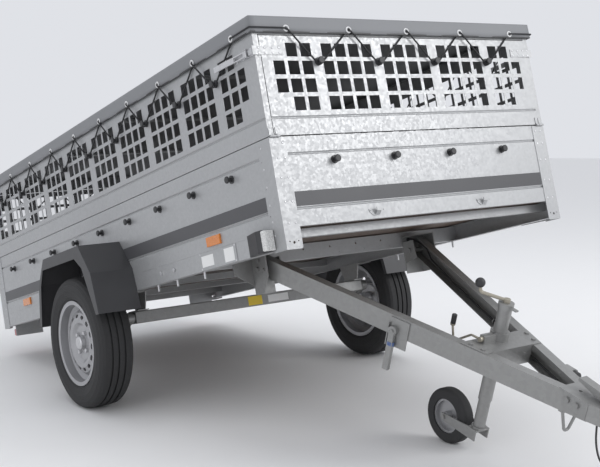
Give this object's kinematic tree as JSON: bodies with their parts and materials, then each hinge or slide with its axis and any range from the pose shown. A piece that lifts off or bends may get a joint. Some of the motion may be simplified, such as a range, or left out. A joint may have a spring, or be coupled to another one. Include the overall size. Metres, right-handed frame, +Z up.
{
  "type": "box trailer",
  "caption": "Light box trailer with perforated upper sides, laced tarpaulin, sprung swing-arm axle, tilting V drawbar, ball coupling and crank-up jockey wheel.",
  "frame": {"origin": "middle of the bounds on the ground under the trailer", "axes": "+Y rearward along the trailer, +X to the right seen from the coupling looking rearward, +Z up"},
  "size_m": [1.66, 3.7376, 1.5102],
  "materials": {
    "zinc": "galvanised sheet",
    "zinc_dark": "hot-dip galvanised section",
    "plywood": "film-faced plywood",
    "black_plastic": "matte",
    "guard_plastic": "matte",
    "white_lens": "clear over white",
    "amber_lens": "prismatic",
    "red_lens": "prismatic",
    "tarp_cloth": "coated cloth",
    "elastic": "braided elastic",
    "rim_paint": "silver",
    "tyre_rubber": "matte",
    "hub_steel": "zinc plated",
    "yellow_zinc": "yellow zinc",
    "lead_sheath": "matte"
  },
  "bodies": {
    "chassis": {"floor_panel": "plywood", "front_wall": "zinc", "side_wall_left": "zinc", "side_wall_right": "zinc", "corner_posts": "zinc", "side_rails": "zinc", "cross_members": "zinc", "side_mesh_left": "zinc", "side_mesh_right": "zinc", "tarp_bows": "zinc", "drawbar_brackets": "zinc_dark", "axle_beam": "zinc_dark", "mudguard_left": "guard_plastic", "mudguard_right": "guard_plastic", "front_lamps": "white_lens", "side_reflectors": "amber_lens", "rear_lamps": "red_lens", "wall_bobbins": "black_plastic", "gate_latch_bases": "zinc_dark", "frame_bolts": "zinc_dark", "lamp_holders_and_grommet": "black_plastic", "tarp": "tarp_cloth", "elastic_sides": "elastic", "elastic_front": "elastic", "elastic_rear": "elastic"},
    "tailgate": {"tailgate": "zinc"},
    "front_gate": {"front_gate": "zinc", "front_gate_bobbins": "black_plastic"},
    "rear_gate": {"rear_gate": "zinc", "rear_gate_bobbins": "black_plastic"},
    "latch_front_left": {"latch_lever_front_left": "hub_steel"},
    "latch_front_right": {"latch_lever_front_right": "hub_steel"},
    "latch_rear_left": {"latch_lever_rear_left": "hub_steel"},
    "latch_rear_right": {"latch_lever_rear_right": "hub_steel"},
    "arm_left": {"swing_arm_left": "zinc_dark"},
    "arm_right": {"swing_arm_right": "zinc_dark"},
    "wheel_left": {"hub_left": "hub_steel", "rim_left": "rim_paint", "tyre_left": "tyre_rubber"},
    "wheel_right": {"hub_right": "hub_steel", "rim_right": "rim_paint", "tyre_right": "tyre_rubber"},
    "drawbar": {"drawbar_beam_left": "zinc_dark", "drawbar_beam_right": "zinc_dark", "drawbar_cross_plate": "zinc_dark", "coupling_body": "zinc_dark", "tilt_latch_bracket": "zinc_dark", "rod_loop": "zinc_dark", "lead_fixed": "lead_sheath", "lead_free": "lead_sheath", "lead_plug": "black_plastic"},
    "coupling_handle": {"coupling_handle": "zinc_dark"},
    "tilt_latch": {"tilt_latch_lever": "zinc_dark"},
    "clamp_lever": {"clamp_lever": "yellow_zinc"},
    "jockey_tube": {"jockey_tube": "zinc_dark"},
    "jockey_crank": {"jockey_crank": "yellow_zinc"},
    "jockey_inner": {"jockey_inner_tube": "zinc_dark"},
    "jockey_castor": {"jockey_fork": "zinc_dark"},
    "jockey_wheel": {"jockey_rim": "rim_paint", "jockey_tyre": "tyre_rubber"}
  },
  "joints": [
    {"name": "drawbar_tilt", "type": "hinge", "parent": "chassis", "child": "drawbar", "pos_m": [0, -0.44474, 0.61626], "axis": [-1, 0, 0], "range_deg": [-5, 30.4], "deforming": ["lead_fixed"]},
    {"name": "suspension_left", "type": "hinge", "parent": "chassis", "child": "arm_left", "pos_m": [0, 0.24917, 0.36854], "axis": [1, 0, 0], "range_deg": [-8, 8], "stiffness_Nm_per_rad": 900, "springref_deg": 1.55},
    {"name": "wheel_spin_left", "type": "hinge", "parent": "arm_left", "child": "wheel_left", "pos_m": [-0.745, 0.3708, 0.2735], "axis": [1, 0, 0], "continuous": true},
    {"name": "suspension_right", "type": "hinge", "parent": "chassis", "child": "arm_right", "pos_m": [0, 0.24917, 0.36854], "axis": [1, 0, 0], "range_deg": [-8, 8], "stiffness_Nm_per_rad": 900, "springref_deg": 1.55},
    {"name": "wheel_spin_right", "type": "hinge", "parent": "arm_right", "child": "wheel_right", "pos_m": [0.745, 0.3708, 0.2735], "axis": [1, 0, 0], "continuous": true},
    {"name": "tailgate_fold", "type": "hinge", "parent": "chassis", "child": "tailgate", "pos_m": [0, 1.70543, 0.19804], "axis": [-1, 0, 0], "range_deg": [0, 110]},
    {"name": "front_gate_fold", "type": "hinge", "parent": "chassis", "child": "front_gate", "pos_m": [0, -0.89643, 1.11512], "axis": [1, 0, 0], "range_deg": [0, 90], "deforming": ["elastic_front"]},
    {"name": "rear_gate_fold", "type": "hinge", "parent": "chassis", "child": "rear_gate", "pos_m": [0, 1.77227, 0.4941], "axis": [-1, 0, 0], "range_deg": [0, 100], "deforming": ["elastic_rear"]},
    {"name": "latch_front_left", "type": "hinge", "parent": "chassis", "child": "latch_front_left", "pos_m": [-0.6523, -0.78526, 1.38546], "axis": [0, 0.2267, 0.974], "range_deg": [0, 120]},
    {"name": "latch_front_right", "type": "hinge", "parent": "chassis", "child": "latch_front_right", "pos_m": [0.6523, -0.78526, 1.38546], "axis": [0, -0.2267, -0.974], "range_deg": [0, 120]},
    {"name": "latch_rear_left", "type": "hinge", "parent": "chassis", "child": "latch_rear_left", "pos_m": [-0.6523, 1.79188, 0.78574], "axis": [0, -0.2267, -0.974], "range_deg": [0, 120]},
    {"name": "latch_rear_right", "type": "hinge", "parent": "chassis", "child": "latch_rear_right", "pos_m": [0.6523, 1.79188, 0.78574], "axis": [0, 0.2267, 0.974], "range_deg": [0, 120]},
    {"name": "coupling_handle_lift", "type": "hinge", "parent": "drawbar", "child": "coupling_handle", "pos_m": [0, -1.74793, 0.27703], "axis": [1, 0, 0], "range_deg": [0, 55]},
    {"name": "tilt_latch_swing", "type": "hinge", "parent": "drawbar", "child": "tilt_latch", "pos_m": [-0.24198, -1.00745, 0.43677], "axis": [-0.9594, -0.269, -0.0843], "range_deg": [0, 70]},
    {"name": "clamp_lever_turn", "type": "hinge", "parent": "drawbar", "child": "clamp_lever", "pos_m": [-0.064, -1.27497, 0.4231], "axis": [1, 0, 0], "range_deg": [0, 45]},
    {"name": "jockey_height", "type": "slide", "parent": "drawbar", "child": "jockey_tube", "axis": [0, -0.299, 0.9542], "range_m": [0, 0.1]},
    {"name": "jockey_crank_turn", "type": "hinge", "parent": "jockey_tube", "child": "jockey_crank", "pos_m": [0, -1.28193, 0.4587], "axis": [0, -0.299, 0.9542], "range_deg": [0, 7200]},
    {"name": "jockey_screw", "type": "slide", "parent": "jockey_tube", "child": "jockey_inner", "axis": [0, -0.299, 0.9542], "range_m": [0, 0.1]},
    {"name": "castor_swivel", "type": "hinge", "parent": "jockey_inner", "child": "jockey_castor", "pos_m": [0, -1.16231, 0.077], "axis": [0, -0.299, 0.9542], "continuous": true},
    {"name": "jockey_wheel_spin", "type": "hinge", "parent": "jockey_castor", "child": "jockey_wheel", "pos_m": [0, -1.02281, 0.1], "axis": [1, 0, 0], "continuous": true}
  ],
  "couplings": [
    {"joint": "jockey_screw", "follows": "jockey_crank_turn", "m_per_rad": 0.00079577}
  ]
}
